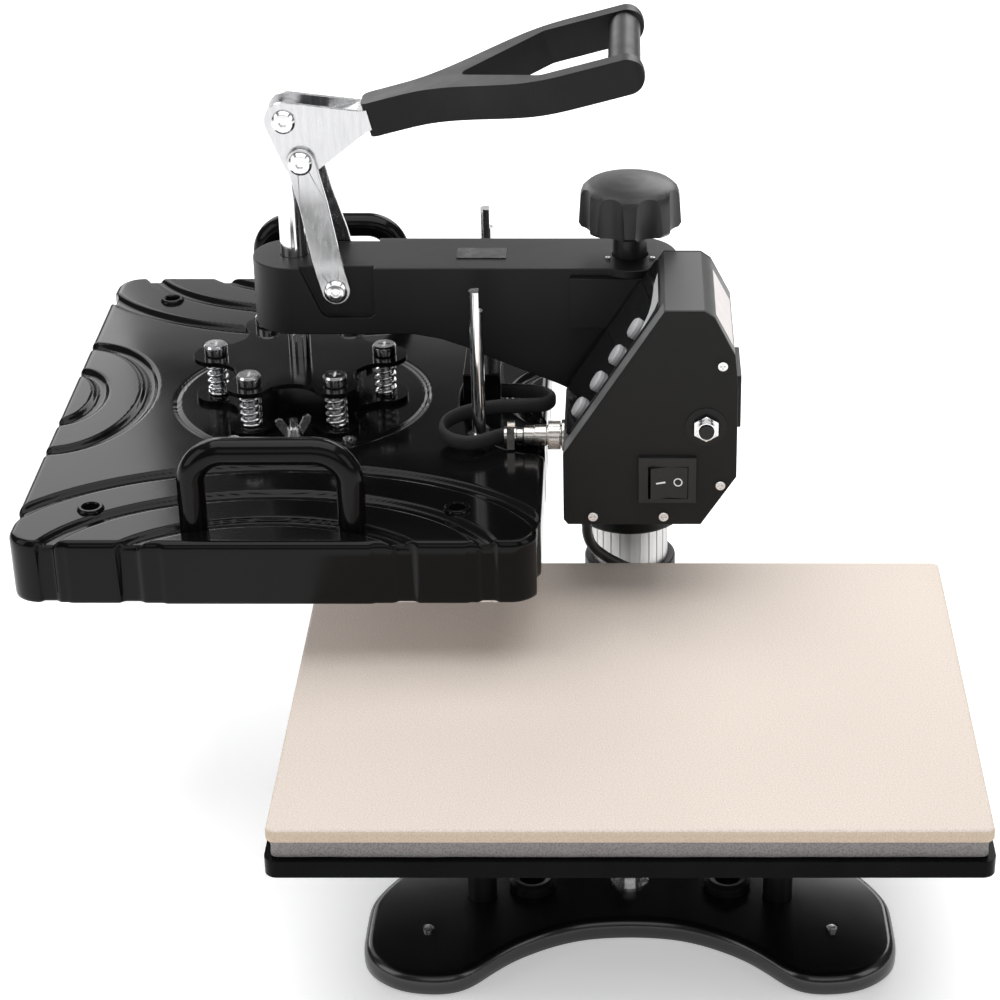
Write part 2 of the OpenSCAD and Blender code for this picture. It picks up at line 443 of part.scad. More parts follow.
module wing_nut() color([0.8, 0.8, 0.82]) difference() {
  translate([-rod_x + 1, -58, cov_z1 + 0.3]) {
    rotate_extrude() polygon([[0, 0], [5.5, 0], [4.2, 6.5], [0, 6.5]]);
    for (s = [0, 180]) rotate([0, 0, s + 20]) side(-0.9, 0.9) polygon([[3, 0.5], [5, 0.5], [10.5, 9], [11, 12], [9, 13.5], [6.5, 12.5], [3, 6]]);
  }
  cyl_z(-rod_x + 1, -58, 2.56, cov_z1 - 1, cov_z1 + 20);
}

// ---- Toggle ----
module press_rod() color([0.86, 0.86, 0.87]) difference() {
  union() {
    cyl_z(-rod_x, 0, 8, pad_z + 136, pad_z + 226);
    cyl_z(-rod_x, 0, 6.8, up_z, pad_z + 136.1);
    translate([-rod_x - 8, -8, pad_z + 224.7]) cube([16, 16, p1[1] - 224.7]);
    cyl_y(-rod_x, pad_z + p1[1], 8, -8, 8);
    cyl_y(-rod_x, pad_z + 124, 3, -7.4, 0);
  }
  cyl_y(-rod_x, pad_z + p1[1], 5.06, -9, 9);
}
// Outline of a lever cheek: round at both pivots, narrowing to the neck
module cheek_plan() hull($fn = 32) { translate(p1) circle(r = 11.5); translate(p2) circle(r = 10.5); translate([-rod_x + 42, 263]) circle(r = 8); }
module lever_bracket() color([0.85, 0.85, 0.86]) difference() {
  translate([0, 0, pad_z]) union() {
    for (s = [0, 1]) mirror([0, s, 0]) side(8.4, 11.4) cheek_plan();
    side(-11.4, 11.4) polygon([[-rod_x + 24, 266], [-rod_x + 42, 270.5], [-rod_x + 49, 271.5], [-rod_x + 52, 259.5], [-rod_x + 42, 255.5], [-rod_x + 26, 258]]);
  }
  cyl_y(p1[0], pad_z + p1[1], 5, -20, 20);
  cyl_y(p2[0], pad_z + p2[1], 5, -20, 20);
}
module bolt_head(x, z, y, s) translate([x, y, z]) rotate([s > 0 ? -90 : 90, 0, 0]) difference() {
  rotate_extrude() polygon([[0, 0], [7, 0], [7, 1.6], [5.6, 3], [0, 3.4]]);
  translate([0, 0, 1.4]) cylinder(h = 4, r = 2.6, $fn = 6);
}
module lever_pins() color([0.85, 0.85, 0.86]) {
  cyl_y(p1[0], pad_z + p1[1], 5, -11.5, 11.5);
  for (s = [-1, 1]) bolt_head(p1[0], pad_z + p1[1], s * 11.4, s);
  for (s = [-1, 1]) cyl_y(p2[0], pad_z + p2[1], 5, s > 0 ? 8.5 : -15.3, s > 0 ? 15.3 : -8.5);
  for (s = [-1, 1]) bolt_head(p2[0], pad_z + p2[1], s * 15.2, s);
}
// The forked grip, drawn flat and then sloped
function grip_side(e) = smooth_path([[-2, 11], [22, 11.2], [35, 13], [48, 18.2], [62, 26.3], [77, e - 17.8], [91, e - 9], [103, e - 3.4], [115, e - 0.6], [130, e], [168, e]], 3);
module grip_plan() offset(r = 5, $fn = 32) offset(r = -5, $fn = 32) difference() {
  polygon(concat(grip_side(grip_w / 2), [for (q = [len(grip_side(54)) - 1:-1:0]) let (v = grip_side(grip_w / 2)[q]) [v[0], -v[1]]]));
  offset(r = 6, $fn = 32) polygon([[66, 0], [111, -grip_w / 2 + 18], [190, -grip_w / 2 + 18], [190, grip_w / 2 - 18], [111, grip_w / 2 - 18]]);
}
module handle_grip() color([0.08, 0.08, 0.08]) translate([-rod_x + 50, 0, pad_z + 265]) rotate([0, -grip_tilt, 0]) {
  intersection() {
    translate([0, 0, -grip_h / 2]) linear_extrude(grip_h) grip_plan();
    side(-60, 60) { translate([-3, -grip_h / 2]) square([171 - grip_h / 2, grip_h]); translate([168 - grip_h / 2, 0]) circle(r = grip_h / 2); }
  }
  cyl_y(156, 0, 9.5, -grip_w / 2 + 11.8, grip_w / 2 - 11.8);
}
link_a = atan2(p2[1] - p3[1], p2[0] - p3[0]);
link_l = norm([p2[0] - p3[0], p2[1] - p3[1]]);
module on_link() { translate([p3[0], 0, pad_z + p3[1]]) rotate([0, -link_a, 0]) children(); }
module link_plates() color([0.82, 0.82, 0.84]) for (s = [0, 1]) mirror([0, s, 0]) on_link() difference() {
  union() {
    side(11.9, 14.9) union() { translate([link_l - 28, -8.6]) square([28, 17.2]); translate([link_l, 0]) circle(r = 8.6); }
    side(21.1, 24.1) union() { translate([0, -8.6]) square([22, 17.2]); circle(r = 8.6); }
    translate([0, 0, -8.6]) linear_extrude(17.2) polygon([[22, 21.1], [22, 24.1], [link_l - 28, 14.9], [link_l - 28, 11.9]]);
  }
  cyl_y(link_l, 0, 5.06, 5, 20);
  cyl_y(0, 0, 4.2, 15, 30);
}
module link_bolts() color([0.85, 0.85, 0.86]) for (s = [-1, 1]) {
  cyl_y(p3[0], pad_z + p3[1], 4.2, s > 0 ? 21.3 : -24.2, s > 0 ? 24.2 : -21.3);
  bolt_head(p3[0], pad_z + p3[1], s * 24.1, s);
}

base_shell();
rubber_feet();
base_screws();
post_socket();
post_tube();
post_spindle();
platen_supports();
support_bolts();
lower_platen();
foam_pad();
top_pad();
thrust_bearing();
mains_cord();
cord_coil();
mains_plug();
arm_casting();
box_shell();
box_front_plate();
box_rear_plate();
box_bracket();
display_overlay();
access_plate();
panel_screws();
switch_bezel();
breaker_bush();
output_socket();
lead_plug();
platen_lead();
strain_relief();
pressure_knob();
pressure_screw();
mode_button();
up_button();
down_button();
timer_button();
power_rocker();
breaker_button();
plug_ring();
platen_cover();
heater_plate();
heating_element();
insulation_pad();
front_bail();
rear_bail();
guide_rods();
lower_spider();
spring_bolts();
springs();
terminal_cover();
cover_screws();
wing_nut();
press_rod();
upper_spider();
lever_bracket();
lever_pins();
handle_grip();
link_plates();
link_bolts();
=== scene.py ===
import math

import bmesh
import bpy
import numpy as np
from mathutils import Matrix, Vector


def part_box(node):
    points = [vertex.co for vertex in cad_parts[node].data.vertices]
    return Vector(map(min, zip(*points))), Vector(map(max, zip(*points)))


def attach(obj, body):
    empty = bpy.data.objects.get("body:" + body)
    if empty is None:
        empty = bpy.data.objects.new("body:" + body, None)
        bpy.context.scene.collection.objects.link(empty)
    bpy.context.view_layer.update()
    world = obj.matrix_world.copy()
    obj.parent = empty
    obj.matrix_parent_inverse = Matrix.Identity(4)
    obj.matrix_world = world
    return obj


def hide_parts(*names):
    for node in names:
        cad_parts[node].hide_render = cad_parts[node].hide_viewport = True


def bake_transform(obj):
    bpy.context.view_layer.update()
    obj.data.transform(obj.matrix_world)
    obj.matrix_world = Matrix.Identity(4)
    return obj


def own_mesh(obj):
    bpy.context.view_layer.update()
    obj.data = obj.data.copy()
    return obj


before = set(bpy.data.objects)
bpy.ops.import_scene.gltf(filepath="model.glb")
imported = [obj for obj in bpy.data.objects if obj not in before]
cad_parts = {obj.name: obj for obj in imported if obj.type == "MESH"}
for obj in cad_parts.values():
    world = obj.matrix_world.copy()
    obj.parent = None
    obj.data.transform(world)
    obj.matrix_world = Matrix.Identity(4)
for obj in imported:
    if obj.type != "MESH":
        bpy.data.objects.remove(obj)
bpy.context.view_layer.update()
MM = 0.001
scene = bpy.context.scene
scene.view_settings.view_transform = "Standard"

# ---------------------------------------------------------------- camera
cam_data = bpy.data.cameras.new("camera")
cam = bpy.data.objects.new("camera", cam_data)
scene.collection.objects.link(cam)
cam.location = (0.0, -1.4905, 0.921)
cam.rotation_euler = (math.radians(62.59), 0, 0)
cam_data.lens = 94.9
cam_data.sensor_width = 36
cam_data.shift_x = -0.13
cam_data.clip_start, cam_data.clip_end = 0.05, 60
scene.camera = cam


# ---------------------------------------------------------------- materials
def nodes_of(name):
    m = bpy.data.materials.new(name)
    m.use_nodes = True
    nt = m.node_tree
    p = nt.nodes["Principled BSDF"]
    return m, nt, p


def noise(nt, scale, detail=4.0, stretch=None, rough=0.5):
    tc = nt.nodes.new("ShaderNodeTexCoord")
    mp = nt.nodes.new("ShaderNodeMapping")
    nt.links.new(tc.outputs["Object"], mp.inputs["Vector"])
    if stretch:
        mp.inputs["Scale"].default_value = stretch
    n = nt.nodes.new("ShaderNodeTexNoise")
    n.inputs["Scale"].default_value = scale
    n.inputs["Detail"].default_value = detail
    n.inputs["Roughness"].default_value = rough
    nt.links.new(mp.outputs["Vector"], n.inputs["Vector"])
    return n.outputs["Fac"]


def ramp(nt, fac, a, b, lo=0.3, hi=0.7):
    r = nt.nodes.new("ShaderNodeValToRGB")
    r.color_ramp.elements[0].position, r.color_ramp.elements[1].position = lo, hi
    r.color_ramp.elements[0].color = (*a, 1)
    r.color_ramp.elements[1].color = (*b, 1)
    nt.links.new(fac, r.inputs["Fac"])
    return r.outputs["Color"]


def spread(nt, fac, lo, hi):
    r = nt.nodes.new("ShaderNodeMapRange")
    r.inputs["From Min"].default_value, r.inputs["From Max"].default_value = 0.3, 0.7
    r.inputs["To Min"].default_value, r.inputs["To Max"].default_value = lo, hi
    nt.links.new(fac, r.inputs["Value"])
    return r.outputs["Result"]


def bump(nt, p, fac, strength, distance):
    b = nt.nodes.new("ShaderNodeBump")
    b.inputs["Strength"].default_value = strength
    b.inputs["Distance"].default_value = distance
    nt.links.new(fac, b.inputs["Height"])
    nt.links.new(b.outputs["Normal"], p.inputs["Normal"])
    return b


def surface(name, a, b, rough, metallic=0.0, scale=60, fine=900, grain=0.1, depth=0.0001, stretch=None, coat=0.0, specular=0.5):
    m, nt, p = nodes_of(name)
    big = noise(nt, scale, 3, stretch)
    nt.links.new(ramp(nt, big, a, b), p.inputs["Base Color"])
    nt.links.new(spread(nt, big, rough[0], rough[1]), p.inputs["Roughness"])
    p.inputs["Metallic"].default_value = metallic
    p.inputs["Specular IOR Level"].default_value = specular
    if coat:
        p.inputs["Coat Weight"].default_value = coat
        p.inputs["Coat Roughness"].default_value = 0.05
    if grain:
        bump(nt, p, noise(nt, fine, 3, stretch), grain, depth)
    return m


def g(v):
    return (v, v, v)


M = {}
M["gloss_black"] = surface("gloss_black", (0.002, 0.002, 0.0023), (0.004, 0.004, 0.0043), (0.09, 0.15), scale=9, fine=120, grain=0.04, depth=0.0002, specular=0.15)
M["base_black"] = surface("base_black", (0.004, 0.004, 0.0043), (0.007, 0.007, 0.0073), (0.18, 0.26), scale=12, fine=200, grain=0.04, depth=0.0002, specular=0.8)
M["satin_black"] = surface("satin_black", (0.0045, 0.0045, 0.0047), (0.0075, 0.0075, 0.0077), (0.36, 0.44), scale=30, fine=1500, grain=0.12, depth=0.0001, specular=0.26)
M["tray_black"] = surface("tray_black", (0.0015, 0.0015, 0.0016), (0.003, 0.003, 0.0031), (0.2, 0.28), scale=40, fine=1200, grain=0.06, depth=0.0001, specular=0.05)
M["box_face"] = surface("box_face", (0.0085, 0.0085, 0.0085), (0.0115, 0.0115, 0.0112), (0.46, 0.54), scale=50, fine=2200, grain=0.15, depth=0.0001, specular=0.2)
M["box_shell"] = surface("box_shell", (0.045, 0.045, 0.0465), (0.058, 0.058, 0.0595), (0.36, 0.44), metallic=0.4, scale=40, fine=2200, grain=0.12, depth=0.0001)
M["panel_strip"] = surface("panel_strip", (0.18, 0.18, 0.184), (0.21, 0.21, 0.214), (0.34, 0.42), metallic=0.4, scale=60, fine=2200, grain=0.1, depth=0.0001)
M["overlay"] = surface("overlay", (0.004, 0.004, 0.005), (0.008, 0.008, 0.009), (0.06, 0.12), scale=20, fine=500, grain=0.02, depth=0.0001, coat=0.7)
M["swoosh"] = surface("swoosh", (0.48, 0.48, 0.49), (0.56, 0.56, 0.57), (0.25, 0.35), scale=60, fine=900, grain=0.02)
M["label"] = surface("label", (0.72, 0.66, 0.65), (0.8, 0.75, 0.74), (0.4, 0.5), scale=80, fine=1500, grain=0.04)
M["aluminium"] = surface("aluminium", (0.72, 0.71, 0.7), (0.86, 0.855, 0.85), (0.42, 0.52), metallic=0.65, scale=260, fine=700, grain=0.15, depth=0.0001, stretch=(1, 1, 0.03))
M["plate_alu"] = surface("plate_alu", (0.66, 0.66, 0.67), (0.74, 0.74, 0.75), (0.25, 0.35), metallic=1, scale=80, fine=900, grain=0.08)
M["steel"] = surface("steel", (0.52, 0.52, 0.53), (0.66, 0.66, 0.67), (0.24, 0.34), metallic=1, scale=300, fine=900, grain=0.1, depth=0.0001, stretch=(1, 1, 0.08))
M["link_steel"] = surface("link_steel", (0.56, 0.56, 0.57), (0.7, 0.7, 0.71), (0.2, 0.3), metallic=1, scale=420, fine=900, grain=0.08, depth=0.0001, stretch=(1, 1, 0.1))
M["chrome"] = surface("chrome", (0.74, 0.74, 0.75), (0.85, 0.85, 0.86), (0.07, 0.14), metallic=1, scale=40, fine=500, grain=0.03)
M["zinc"] = surface("zinc", (0.66, 0.66, 0.67), (0.8, 0.8, 0.8), (0.18, 0.3), metallic=1, scale=300, fine=900, grain=0.08)
M["nickel"] = surface("nickel", (0.58, 0.55, 0.52), (0.7, 0.67, 0.64), (0.2, 0.3), metallic=1, scale=200, fine=700, grain=0.08)
M["brass"] = surface("brass", (0.55, 0.42, 0.2), (0.66, 0.52, 0.28), (0.25, 0.35), metallic=1, scale=200, fine=700, grain=0.08)
M["rubber"] = surface("rubber", (0.01, 0.01, 0.01), (0.018, 0.018, 0.018), (0.6, 0.75), scale=80, fine=1200, grain=0.2)
M["pvc"] = surface("pvc", (0.012, 0.012, 0.012), (0.018, 0.018, 0.018), (0.36, 0.46), scale=80, fine=1200, grain=0.1)
M["plastic"] = surface("plastic", (0.007, 0.007, 0.0072), (0.011, 0.011, 0.0112), (0.36, 0.46), scale=60, fine=1500, grain=0.15, depth=0.0001, specular=0.35)
M["knob"] = surface("knob", (0.014, 0.014, 0.0143), (0.02, 0.02, 0.0204), (0.34, 0.44), scale=60, fine=1500, grain=0.15, depth=0.0001, specular=0.42)
M["grip"] = surface("grip", (0.0042, 0.0042, 0.0044), (0.007, 0.007, 0.0072), (0.36, 0.46), scale=60, fine=1300, grain=0.2, depth=0.0001, specular=0.24)
M["rocker"] = surface("rocker", (0.012, 0.012, 0.012), (0.017, 0.017, 0.017), (0.35, 0.45), scale=60, fine=1500, grain=0.1, specular=0.35)
M["button"] = surface("button", (0.36, 0.36, 0.37), (0.43, 0.43, 0.44), (0.38, 0.48), scale=80, fine=1500, grain=0.1)
M["white_mark"] = surface("white_mark", (0.8, 0.8, 0.8), (0.88, 0.88, 0.88), (0.4, 0.5), scale=80, fine=900, grain=0.02)
M["wool"] = surface("wool", (0.6, 0.58, 0.53), (0.72, 0.7, 0.65), (0.8, 0.9), scale=80, fine=900, grain=0.4, depth=0.0004)
# painted shade: a black with no sheen, used for the shade inside the boss holes
M["painted_hole_shade"] = surface("painted_hole_shade", (0.001, 0.001, 0.001), (0.002, 0.002, 0.002), (0.9, 1.0), scale=80, fine=900, grain=0.02, specular=0.0)
M["nameplate"] = surface("nameplate", (0.12, 0.12, 0.122), (0.16, 0.16, 0.162), (0.2, 0.3), metallic=1, scale=120, fine=900, grain=0.04)


def pad_material():
    m, nt, p = nodes_of("cream_pad")
    fine = noise(nt, 420, 6, None, 0.7)
    speck = noise(nt, 1250, 4, None, 0.8)
    c1 = ramp(nt, speck, (0.585, 0.502, 0.44), (0.79, 0.706, 0.64), 0.36, 0.62)
    c2 = ramp(nt, noise(nt, 6, 2), (0.97, 0.97, 0.97), (1, 1, 1))
    mx = nt.nodes.new("ShaderNodeMix")
    mx.data_type, mx.blend_type = "RGBA", "MULTIPLY"
    mx.inputs["Factor"].default_value = 1.0
    nt.links.new(c1, mx.inputs[6])
    nt.links.new(c2, mx.inputs[7])
    # painted shade: the side faces are painted darker and yellower than the top, chosen by the direction each face
    # points
    geo = nt.nodes.new("ShaderNodeNewGeometry")
    sepn = nt.nodes.new("ShaderNodeSeparateXYZ")
    nt.links.new(geo.outputs["True Normal"], sepn.inputs["Vector"])
    painted_side_shade = ramp(nt, sepn.outputs["Z"], (0.84, 0.77, 0.66), (1, 1, 1), 0.2, 0.8)
    side_shade_mix = nt.nodes.new("ShaderNodeMix")
    side_shade_mix.data_type, side_shade_mix.blend_type = "RGBA", "MULTIPLY"
    side_shade_mix.inputs["Factor"].default_value = 1.0
    nt.links.new(mx.outputs[2], side_shade_mix.inputs[6])
    nt.links.new(painted_side_shade, side_shade_mix.inputs[7])
    nt.links.new(side_shade_mix.outputs[2], p.inputs["Base Color"])
    nt.links.new(spread(nt, fine, 0.72, 0.88), p.inputs["Roughness"])
    p.inputs["Specular IOR Level"].default_value = 0.25
    b = bump(nt, p, speck, 0.4, 0.0003)
    b2 = nt.nodes.new("ShaderNodeBump")
    b2.inputs["Strength"].default_value = 0.3
    b2.inputs["Distance"].default_value = 0.0006
    nt.links.new(fine, b2.inputs["Height"])
    nt.links.new(b2.outputs["Normal"], b.inputs["Normal"])
    return m


def foam_material():
    m, nt, p = nodes_of("grey_foam")
    v = nt.nodes.new("ShaderNodeTexVoronoi")
    v.inputs["Scale"].default_value = 900
    tc = nt.nodes.new("ShaderNodeTexCoord")
    nt.links.new(tc.outputs["Object"], v.inputs["Vector"])
    nt.links.new(ramp(nt, v.outputs["Distance"], (0.17, 0.155, 0.155), (0.29, 0.27, 0.27), 0.1, 0.6), p.inputs["Base Color"])
    p.inputs["Roughness"].default_value = 0.85
    p.inputs["Specular IOR Level"].default_value = 0.2
    bump(nt, p, v.outputs["Distance"], 0.5, 0.0005)
    return m


def braid_material():
    m, nt, p = nodes_of("braid")
    tc = nt.nodes.new("ShaderNodeTexCoord")
    mp = nt.nodes.new("ShaderNodeMapping")
    mp.inputs["Scale"].default_value = (24, 150, 1)
    mp.inputs["Rotation"].default_value = (0, 0, 0.6)
    nt.links.new(tc.outputs["UV"], mp.inputs["Vector"])
    c = nt.nodes.new("ShaderNodeTexChecker")
    c.inputs["Scale"].default_value = 1.0
    nt.links.new(mp.outputs["Vector"], c.inputs["Vector"])
    nt.links.new(ramp(nt, c.outputs["Fac"], (0.006, 0.006, 0.006), (0.028, 0.028, 0.029), 0.2, 0.8), p.inputs["Base Color"])
    p.inputs["Roughness"].default_value = 0.6
    bump(nt, p, c.outputs["Fac"], 0.6, 0.0004)
    return m


M["cream_pad"] = pad_material()
M["grey_foam"] = foam_material()
M["braid"] = braid_material()


def paint(o, mat):
    o.data.materials.clear()
    o.data.materials.append(M[mat])


def new_mesh(name, verts, faces, mat, body, smooth=True, flat_angle=None):
    me = bpy.data.meshes.new(name)
    me.from_pydata([tuple(v) for v in verts], [], faces)
    me.update()
    o = bpy.data.objects.new(name, me)
    scene.collection.objects.link(o)
    bm = bmesh.new()
    bm.from_mesh(me)
    bmesh.ops.recalc_face_normals(bm, faces=bm.faces)
    if smooth:
        for f in bm.faces:
            f.smooth = True
        if flat_angle:
            for e in bm.edges:
                if len(e.link_faces) == 2 and e.calc_face_angle(0) > math.radians(flat_angle):
                    e.smooth = False
    bm.to_mesh(me)
    bm.free()
    paint(o, mat)
    if body:
        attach(o, body)
    return o


# ---------------------------------------------------------------- mains cord
def cr(p0, p1, p2, p3, t):
    return 0.5 * ((2 * p1) + (p2 - p0) * t + (2 * p0 - 5 * p1 + 4 * p2 - p3) * t * t + (3 * p1 - p0 - 3 * p2 + p3) * t**3)


def smooth_path(pts, k):
    p = [np.array(q, float) for q in pts]
    n = len(p)
    out = [cr(p[max(i - 1, 0)], p[i], p[i + 1], p[min(i + 2, n - 1)], j / k) for i in range(n - 1) for j in range(k)]
    return out + [p[-1]]


ROUTE = [(-26.5, -57, 184), (-26.5, -57, 172), (-26.5, -57, 160), (-25.8, -57, 152.5), (-22.8, -57, 145.5), (-16.5, -57, 139.3),
         (-7.5, -56.8, 133.5), (4, -54.8, 126.3), (12.5, -51.5, 117.5), (17, -49, 106), (18, -47.5, 93.5), (18, -47, 80.5),
         (19.5, -47, 67), (24.5, -46, 53), (34, -43, 40), (46, -37, 29.5), (58.5, -28.5, 23), (70.5, -18.5, 20),
         (82, -9, 18.8), (93, -1, 17), (103, 6, 12.8), (113, 12, 7.8), (123, 16.5, 4.6)]
COIL = (140, 62)
R0, R1 = 43.5, 30.5
TAIL = [(183.5, 62, 9.9), (183.5, 74, 9.9), (182.3, 87, 10.2), (178, 99.5, 10.8), (170, 110.5, 11.5), (159.5, 119.5, 12.1), (147.5, 125.8, 12.5), (134, 128, 12.5)]
cord_pts = list(ROUTE)
turns, step = 1440 + 99, 360 / 16
for i in range(int(turns / step) + 1):
    th = -99 + turns * i / int(turns / step)
    if th <= 621:
        r, z = R0 - (R0 - R1) * (th + 99) / 720, 3.35
    elif th <= 720:
        t = (th - 621) / 99
        r, z = R1, 3.35 + 6.55 * (t * t * (3 - 2 * t))
    else:
        r, z = R1 + (R0 - R1) * (th - 720) / 720, 9.9
    cord_pts.append((COIL[0] + r * math.cos(math.radians(th)), COIL[1] + r * math.sin(math.radians(th)), z))
cord_pts += TAIL[1:]
curve = bpy.data.curves.new("mains_lead", "CURVE")
curve.dimensions = "3D"
sp = curve.splines.new("BEZIER")
sp.bezier_points.add(len(cord_pts) - 1)
for b, p in zip(sp.bezier_points, cord_pts):
    b.co = [c * MM for c in p]
    b.handle_left_type = b.handle_right_type = "AUTO"
sp.resolution_u = 6
curve.bevel_depth = 3.25 * MM
curve.bevel_resolution = 5
curve.use_fill_caps = True
lead_obj = bpy.data.objects.new("mains_lead", curve)
scene.collection.objects.link(lead_obj)
curve.materials.append(M["pvc"])
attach(lead_obj, "swivel")
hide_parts("mains_cord", "cord_coil")


# a turned piece about the vertical line through (x, y)
def turned(name, x, y, profile, mat, body, seg=40, flat_angle=40):
    verts, faces = [], []
    n = len(profile)
    for k in range(seg):
        a = 2 * math.pi * k / seg
        for r, z in profile:
            verts.append(((x + r * math.cos(a)) * MM, (y + r * math.sin(a)) * MM, z * MM))
    for k in range(seg):
        for i in range(n):
            a, b = k * n + i, k * n + (i + 1) % n
            c, d = ((k + 1) % seg) * n + (i + 1) % n, ((k + 1) % seg) * n + i
            faces.append((a, b, c, d))
    return new_mesh(name, verts, faces, mat, body, flat_angle=flat_angle)


# strain relief: a tapered ribbed sleeve
prof = [(3.7, 200), (3.7, 167.2), (4.4, 167.2)]
z = 168.4
k = 0
while z < 190:
    r = 4.5 + (z - 167) * 0.076
    prof += [(r + 0.35, z), (r + 0.35, z + 1.7), (r - 0.6, z + 2.0), (r - 0.6, z + 2.9)]
    z += 3.2
prof += [(6.4, 192), (9, 193.4), (9, 194.7), (7, 194.9), (7, 200)]
relief = turned("relief_sleeve", -26.5, -57, prof, "rubber", "arm")
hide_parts("strain_relief")

# ---------------------------------------------------------------- the platen's braided lead
LEAD = [(-75.2, -71, 228.7), (-80, -73.5, 228.7), (-86.5, -79, 228.8), (-96, -82.5, 229), (-106.5, -79, 229.5), (-112.5, -69, 230.5), (-110, -57, 231.5),
        (-100, -49, 233), (-88, -45, 234), (-75, -43, 234.5), (-62, -42, 234.5), (-52, -38, 233.5), (-47.5, -28.5, 232), (-50, -18.5, 230), (-57, -11, 229), (-67, -8, 228.5), (-79.7, -7, 228.5)]
path = smooth_path(LEAD, 8)
verts, faces, uvs = [], [], []
seg = 20
run = 0.0
up = np.array([0, 0, 1.0])
for i, c in enumerate(path):
    t = path[min(i + 1, len(path) - 1)] - path[max(i - 1, 0)]
    t /= np.linalg.norm(t)
    s = np.cross(t, up)
    s /= np.linalg.norm(s)
    w = np.cross(s, t)
    for j in range(seg):
        q = 2 * math.pi * j / seg
        cq, sq = math.cos(q), math.sin(q)
        # a flattened oval
        px = 2.25 * math.copysign(abs(cq) ** 0.8, cq)
        pz = 4.7 * math.copysign(abs(sq) ** 0.8, sq)
        verts.append((c + s * px + w * pz) * MM)
for i in range(len(path) - 1):
    for j in range(seg):
        faces.append((i * seg + j, i * seg + (j + 1) % seg, (i + 1) * seg + (j + 1) % seg, (i + 1) * seg + j))
faces.append(tuple(range(seg)))
faces.append(tuple(range((len(path) - 1) * seg, len(path) * seg)))
lead = new_mesh("braided_lead", verts, faces, "braid", None, flat_angle=60)
uv = lead.data.uv_layers.new(name="uv")
for poly in lead.data.polygons:
    for li in poly.loop_indices:
        v = lead.data.loops[li].vertex_index
        uv.data[li].uv = ((v % seg) / seg * 4 if (v % seg) <= seg / 2 else (seg - v % seg) / seg * 4, (v // seg) / len(path) * 1.6)
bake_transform(lead)
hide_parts("platen_lead")


# ---------------------------------------------------------------- slabs from an outline
def loop_normals(loop):
    n = len(loop)
    out = []
    for i in range(n):
        a, b = loop[i - 1], loop[(i + 1) % n]
        d = b - a
        d /= max(np.linalg.norm(d), 1e-12)
        out.append(np.array([-d[1], d[0]]))
    return np.array(out)


def slab(name, loop, rings, mat, body, flat_angle=50, extra=None):
    loop = np.array(loop, float)
    area = 0.5 * np.sum(loop[:, 0] * np.roll(loop[:, 1], -1) - np.roll(loop[:, 0], -1) * loop[:, 1])
    if area < 0:
        loop = loop[::-1]
    nrm = loop_normals(loop)  # inward for an anticlockwise loop
    n = len(loop)
    verts, faces = [], []
    for inset, z in rings:
        q = loop + nrm * inset
        verts += [(x * MM, y * MM, z * MM) for x, y in q]
    for k in range(len(rings) - 1):
        for i in range(n):
            faces.append((k * n + i, k * n + (i + 1) % n, (k + 1) * n + (i + 1) % n, (k + 1) * n + i))
    faces.append(tuple(range(n))[::-1])
    faces.append(tuple((len(rings) - 1) * n + i for i in range(n)))
    if extra:
        ev, ef = extra
        base = len(verts)
        verts += ev
        faces += [tuple(base + i for i in f) for f in ef]
    return new_mesh(name, verts, faces, mat, body, flat_angle=flat_angle)


def rounded_rect(x0, x1, y0, y1, r, k=8, per=24):
    pts = []
    for cx, cy, a0 in ((x1 - r, y1 - r, 0), (x0 + r, y1 - r, 90), (x0 + r, y0 + r, 180), (x1 - r, y0 + r, 270)):
        for i in range(k + 1):
            a = math.radians(a0 + 90 * i / k)
            pts.append(np.array([cx + r * math.cos(a), cy + r * math.sin(a)]))
    out = []
    for i, p in enumerate(pts):
        q = pts[(i + 1) % len(pts)]
        d = np.linalg.norm(q - p)
        m = max(1, int(d / per))
        out += [p + (q - p) * j / m for j in range(m)]
    return out


def node_loop(node, z):
    """The longest outline of a node's flat face at height z."""
    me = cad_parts[node].data
    key = lambda v: (round(v.co.x * 1e5), round(v.co.y * 1e5))
    count = {}
    for poly in me.polygons:
        vs = [me.vertices[i] for i in poly.vertices]
        if all(abs(v.co.z - z * MM) < 2e-5 for v in vs):
            ks = [key(v) for v in vs]
            for a, b in zip(ks, ks[1:] + ks[:1]):
                if (b, a) in count:
                    count[(b, a)] += 1
                else:
                    count[(a, b)] = count.get((a, b), 0) + 1
    nxt = {}
    for (a, b), c in count.items():
        if c == 1:
            nxt.setdefault(a, []).append(b)
            nxt.setdefault(b, []).append(a)
    seen, best = set(), []
    for s in sorted(nxt):
        if s in seen:
            continue
        loop, cur, prev = [s], s, None
        seen.add(s)
        while True:
            opts = [q for q in nxt[cur] if q != prev and q not in seen]
            if not opts:
                break
            prev, cur = cur, opts[0]
            loop.append(cur)
            seen.add(cur)
        if len(loop) > len(best):
            best = loop
    return np.array(best, float) / 100.0


def resample(loop, spacing):
    loop = np.array(loop, float)
    closed = np.vstack([loop, loop[:1]])
    d = np.linalg.norm(np.diff(closed, axis=0), axis=1)
    s = np.concatenate([[0], np.cumsum(d)])
    n = int(s[-1] / spacing)
    t = np.linspace(0, s[-1], n, endpoint=False)
    return np.stack([np.interp(t, s, closed[:, 0]), np.interp(t, s, closed[:, 1])], axis=1)


